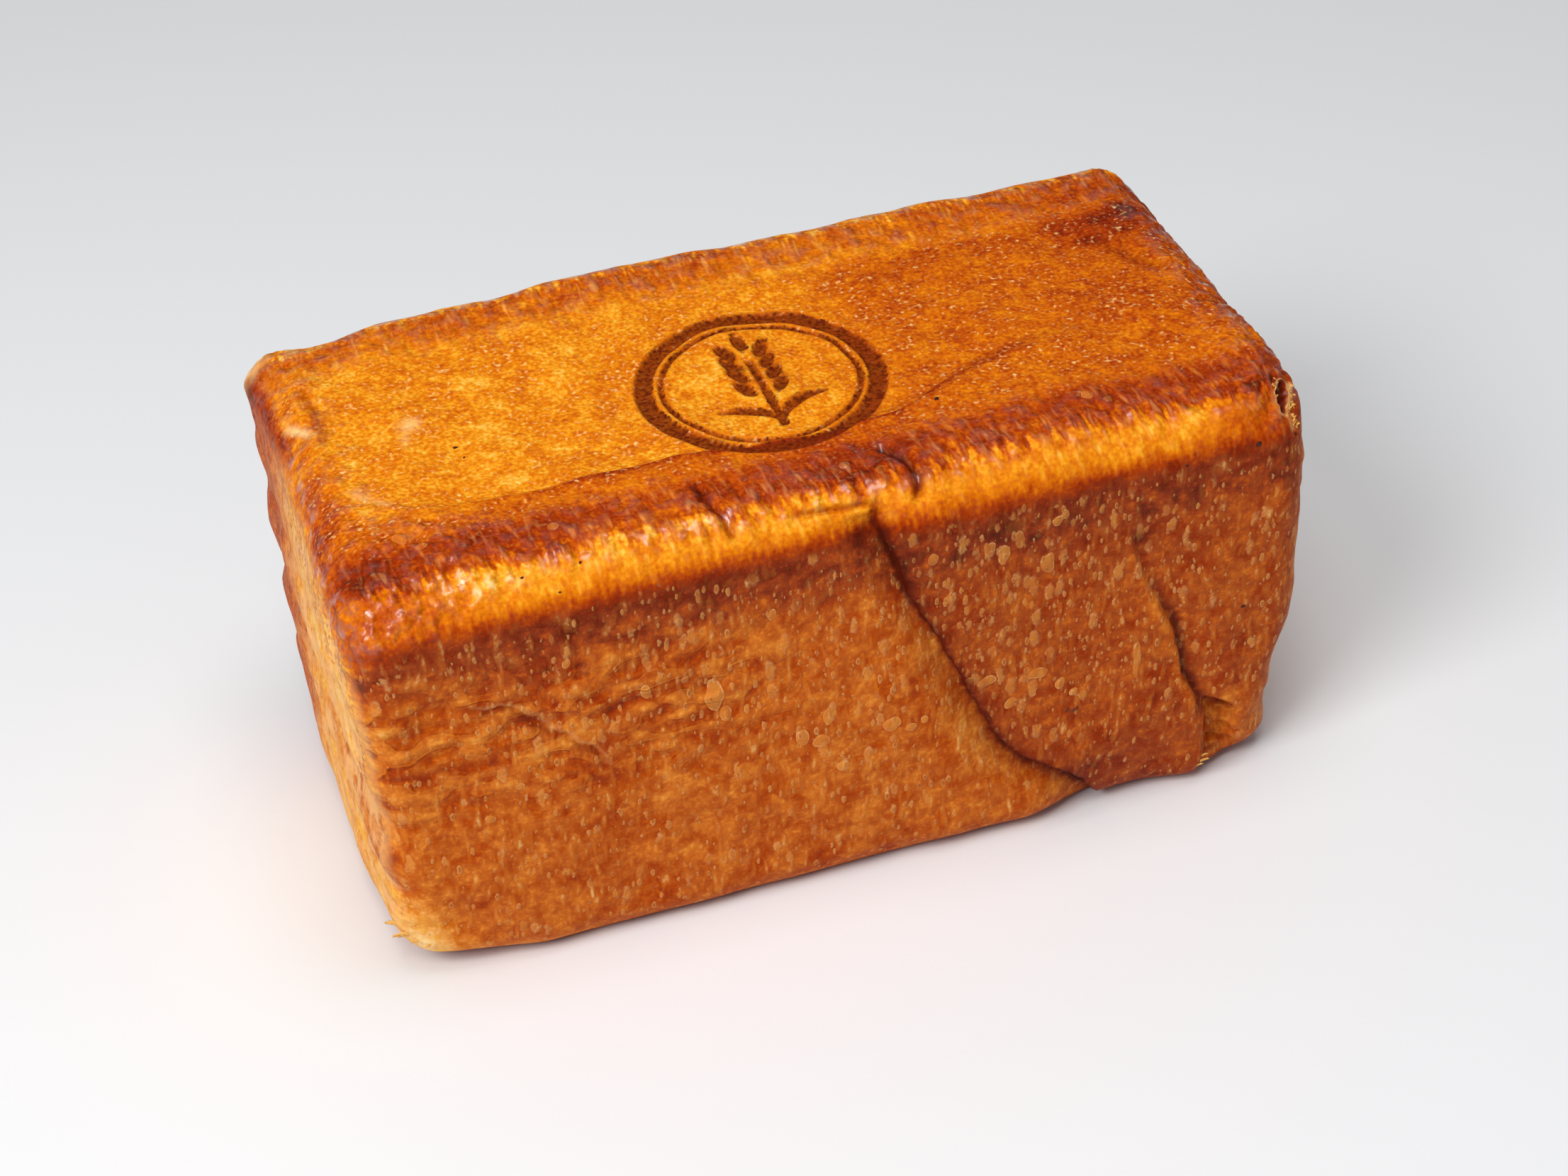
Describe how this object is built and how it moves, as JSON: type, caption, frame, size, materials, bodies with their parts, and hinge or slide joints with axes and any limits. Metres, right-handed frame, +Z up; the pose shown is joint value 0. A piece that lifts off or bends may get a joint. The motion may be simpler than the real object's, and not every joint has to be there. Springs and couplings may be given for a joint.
{
  "type": "tin loaf",
  "caption": "Whole long square-ended tin loaf with a flat lidded top, rounded edges and a flap of creased crust down one long side.",
  "frame": {"origin": "middle of the loaf's own box, on the surface it stands on", "axes": "+X along the loaf's length, -Y towards the creased long side, +Z up"},
  "size_m": [0.2398, 0.1296, 0.1185],
  "materials": {
    "crust": "golden brown baked crust with a soft sheen"
  },
  "bodies": {
    "root": {"loaf": "crust"}
  },
  "joints": []
}
